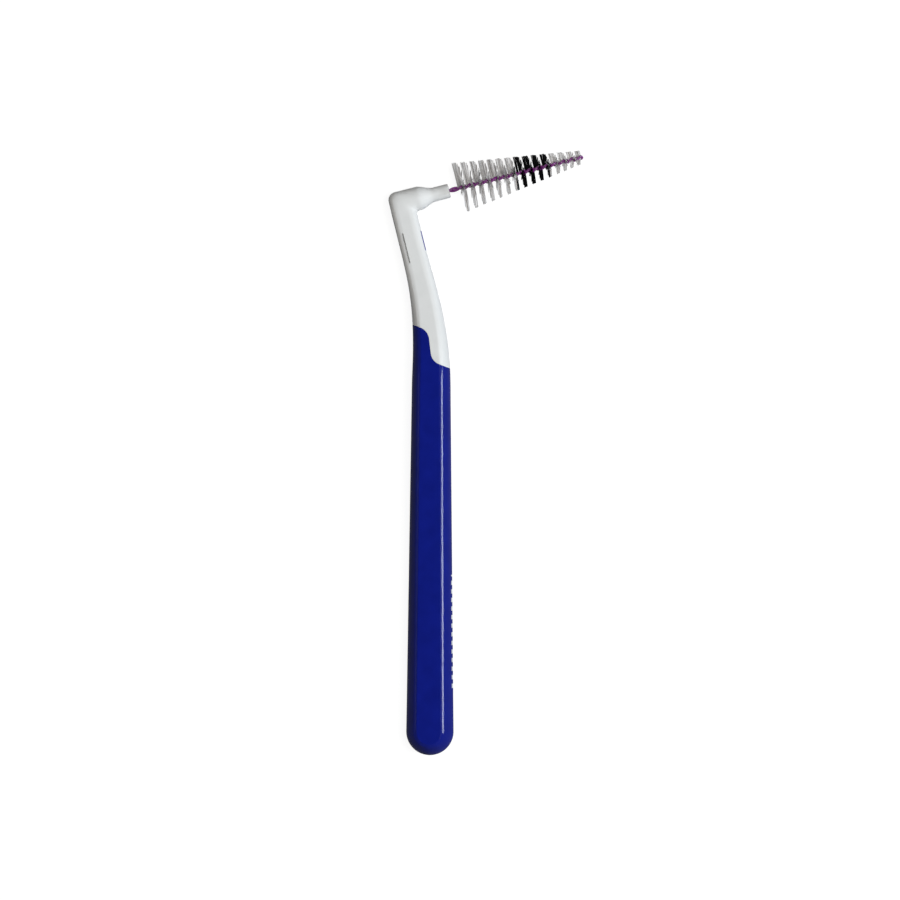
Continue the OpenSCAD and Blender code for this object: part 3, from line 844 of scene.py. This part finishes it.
round_corners = [2 * math.pi * j / STRAND_SIDES for j in range(STRAND_SIDES)]
bm, loops = loft([[Vector((math.cos(a), math.sin(a), share)) for a in round_corners]
                  for share in STRAND_SHARES])
for loop in (loops[0], loops[-1]):
    bmesh.ops.contextual_create(bm, geom=loop_edges(bm, loop))
strand = bpy.data.meshes.new("one filament")
bm.to_mesh(strand)
bm.free()


def set_strand(bm, tone_and_shade_layer, root, off, shade, ends):
    """Adds one filament, a strand through root with an end out of each side of the wire."""
    bm.from_mesh(strand)
    bm.verts.ensure_lookup_table()
    for v in bm.verts[-len(strand.vertices):]:
        far = abs(v.co.z)
        side = -1 if v.co.z < 0 else 1
        a, reach, base, lean = ends[side > 0]
        reach = min(reach, LOWEST_REACH / abs(math.sin(a)))
        way = Vector((math.sin(a), math.cos(a), 0)) * side
        beside = Vector((0, 0, 1)).cross(way) * side
        s = mix(root, base, min(ROOT_BEND * far, 1)) + lean * far ** LEAN_POWER
        r = FILAMENT_D / 2 * (1 - TIP_THINNING * far ** 4)
        # Painted shade: the tone is lowest at the root, where the strands crowd at the wire, and
        # rises towards the tips.
        v[tone_and_shade_layer] = min(max(ROOT_TONE + SHADE_TONE * shade + PAINTED_ROOT_SHADE * far, 0.0), 1.0)
        v.co = wire_point(Vector((0, 0, s + r * v.co.y)) + reach * far * way
                          + beside * (off * min(ROOT_OFF + far, 1) + r * v.co.x))


def bristles(name, node, material, first, last, under_last, seed):
    """Filaments of one colour, tuft by tuft, and those that cross the wire between tufts.

    Upper ends change colour between two tufts and lower ends inside one. In a
    tuft that two colours share, the ends that the other colour shows are
    fanned out short.
    """
    draw = random.Random(seed)
    bm = bmesh.new()
    tone_and_shade_layer = bm.verts.layers.float.new("tone")
    clump = None
    for k in range(round(first * TUFT_FILAMENTS), round(last * TUFT_FILAMENTS)):
        i, j = divmod(k, TUFT_FILAMENTS)
        mid = FIRST_TUFT + i * TUFT_STEP
        if j % CLUMP_FILAMENTS == 0 or not clump:
            lock, depth = draw.random(), draw.uniform(*CLUMP_DEPTH)
            middle = 2 * (j // CLUMP_FILAMENTS + 0.5) * CLUMP_FILAMENTS / TUFT_FILAMENTS - 1
            clump = [(draw.uniform(*CLUMP_SWING), draw.gauss(0, CLUMP_SWEEP),
                      draw.uniform(*CLUMP_TRIM)) for _ in range(2)]
        u = 2 * (j + 0.5) / TUFT_FILAMENTS - 1
        ends = []
        for side, (swing, sweep, trim) in zip((-1, 1), clump):
            if side > 0:
                straight, hidden = UPPER_STRAIGHT, i < first
            else:
                straight, hidden = UNDER_STRAIGHT, k >= under_last * TUFT_FILAMENTS
            fan = FAN * swing * max((side * middle + 1) / 2 - straight, 0) / (1 - straight)
            if hidden:
                fan = FAN
            if side > 0:
                base = UPPER_SHIFT + UPPER_HALF * (2 * min((u + 1) / 2 / UPPER_STRAIGHT, 1) - 1)
                lean = min(FAN_RISE * fan, FULL_RISE)
            else:
                base = UNDER_SHIFT * min((TUFTS - 1 - i) / FADING_TUFTS, 1) + UNDER_HALF * u
                lean = UNDER_LEAN
            base += mid + sweep + draw.gauss(0, LOOSE_BASE)
            lean = min(lean + draw.gauss(0, LOOSE_LEAN), LAST_TIP - base)
            reach = (brush_r(base + lean) + side * TRIM_SHIFT) * trim * draw.uniform(*LOOSE_TRIM)
            a = math.radians(FACING + fan + draw.gauss(0, LOOSE_TURN))
            ends.append((a, reach - TRIM_PLAY, base, lean))
        shade = mix(draw.random(), lock, CLUMP_SHADE)
        off = depth + draw.uniform(*LOOSE_DEPTH)
        set_strand(bm, tone_and_shade_layer, mid + ROOT_SHIFT + ROOT_HALF * u, off, shade, ends)
    for i in range(math.floor(first), min(math.floor(last), TUFTS - 1)):
        for _ in range(CROSSING_FILAMENTS):
            root = FIRST_TUFT + (i + draw.uniform(*CROSSING_PLACE)) * TUFT_STEP
            a, lean = math.radians(draw.uniform(*CROSSING_TURN)), draw.gauss(0, CROSSING_LEAN)
            end = (a, brush_r(root) * draw.uniform(*CROSSING_TRIM), root, lean)
            set_strand(bm, tone_and_shade_layer, root, draw.uniform(*LOOSE_DEPTH), draw.random(), (end, end))
    made = piece(bm, name, material, sharp_at=60.0)
    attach(made, "root")
    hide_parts(node)


bristles("pale_filaments_base", "bristles_base", pale,
         first=0, last=7, under_last=BLACK_FROM, seed=11)
bristles("black_filaments", "bristles_middle", black,
         first=BLACK_FROM, last=11, under_last=PALE_FROM, seed=12)
bristles("pale_filaments_tip", "bristles_tip", pale,
         first=PALE_FROM, last=TUFTS, under_last=TUFTS, seed=13)

# ---------------------------------------------------------------- stage
# A plain pale floor under the flat of the grip, a strip light to the right, a
# soft box above, a weak light along the left edge, a dark ceiling far over
# them, and a long lens.
FLOOR_R, FLOOR_CORNERS, FLOOR_SHADE, FLOOR_WHITE = 2.2, 96, 0.2, 0.92
WORLD_LIGHT, WORLD_WHITE = 0.03, 1.0
CEILING_HALF, CEILING_Z, CEILING_SHADE = 1.25, 1.6, 0.01


def looking(tree):
    """1 for what the camera, metal or a clear thing looks at, 0 for light on the brush."""
    ray = put(tree, "ShaderNodeLightPath").outputs
    in_view = maths(tree, "MAXIMUM", ray["Is Camera Ray"], ray["Is Glossy Ray"])
    return maths(tree, "MAXIMUM", in_view, ray["Is Transmission Ray"])


floor_paint, tree, shader = new_material("pale floor")
tree.nodes.remove(shader)
matt = put(tree, "ShaderNodeBsdfDiffuse", {"Color": (FLOOR_SHADE, FLOOR_SHADE, FLOOR_SHADE, 1)})
glow = maths(tree, "MULTIPLY", looking(tree), FLOOR_WHITE)
white = put(tree, "ShaderNodeEmission", {"Color": (1, 1, 1, 1), "Strength": glow})
both = put(tree, "ShaderNodeAddShader", {0: matt.outputs[0], 1: white.outputs[0]})
tree.links.new(both.outputs[0], tree.nodes["Material Output"].inputs["Surface"])
bm = bmesh.new()
bmesh.ops.create_circle(bm, cap_ends=True, segments=FLOOR_CORNERS, radius=FLOOR_R)
floor = placed(bm, "floor", floor_paint)

world = bpy.data.worlds.new("studio")
bpy.context.scene.world = world
world.use_nodes = True
tree = world.node_tree
sky = tree.nodes["Background"]
sky.inputs["Color"].default_value = (1, 1, 1, 1)
level = put(tree, "ShaderNodeMapRange",
            {"Value": looking(tree), "To Min": WORLD_LIGHT, "To Max": WORLD_WHITE})
tree.links.new(level.outputs["Result"], sky.inputs["Strength"])

ceiling_paint, _, shader = new_material("dark ceiling")
shader.inputs["Base Color"].default_value = (CEILING_SHADE, CEILING_SHADE, CEILING_SHADE, 1)
shader.inputs["Roughness"].default_value = 1.0
bm = bmesh.new()
bmesh.ops.create_grid(bm, x_segments=1, y_segments=1, size=CEILING_HALF)
ceiling = placed(bm, "ceiling", ceiling_paint)
ceiling.location = (0, 0, CEILING_Z)

VIEW_X, VIEW_Y, VIEW_Z = 0.00333, 0.02114, HANDLE_T / 2 * MM
LAMP_DISTANCE = 0.75


def over_brush(made, distance, tilt, y, roll=0.0):
    """Puts a lamp or the camera that far over the brush, tilted to its right."""
    made.location = (VIEW_X + distance * math.sin(tilt), y, VIEW_Z + distance * math.cos(tilt))
    made.rotation_euler = (0, tilt, roll)
    bpy.context.scene.collection.objects.link(made)


def soft_box(name, tilt, y, size_x, size_y, power, colour=(1, 1, 1)):
    """A lamp tilted that many degrees to the right of overhead, aimed at the brush."""
    lamp = bpy.data.lights.new(name, "AREA")
    lamp.shape = "RECTANGLE"
    lamp.size, lamp.size_y = size_x, size_y
    lamp.energy = power
    lamp.color = colour
    over_brush(bpy.data.objects.new(name, lamp), LAMP_DISTANCE, math.radians(tilt), y)


soft_box("strip light", 57.5, 0.02, size_x=0.045, size_y=0.22, power=3.4, colour=(0.83, 0.92, 1.0))
soft_box("top soft box", 15, 0.05, size_x=0.30, size_y=0.40, power=3.3, colour=(1.0, 0.985, 0.955))
soft_box("left edge light", -62, 0.02, size_x=0.02, size_y=0.22, power=0.05)

YAW, ROLL, DISTANCE = math.radians(2.5), math.radians(0.216), 0.9
FRAME_W, SENSOR_W = 0.1575, 36.0
camera_data = bpy.data.cameras.new("camera")
camera_data.sensor_width = SENSOR_W
camera_data.lens = SENSOR_W * DISTANCE / FRAME_W
camera_data.clip_start = 0.05
camera_data.clip_end = 10.0
camera = bpy.data.objects.new("camera", camera_data)
over_brush(camera, DISTANCE, YAW, VIEW_Y, ROLL)
bpy.context.scene.camera = camera
bpy.context.scene.view_settings.view_transform = "Standard"
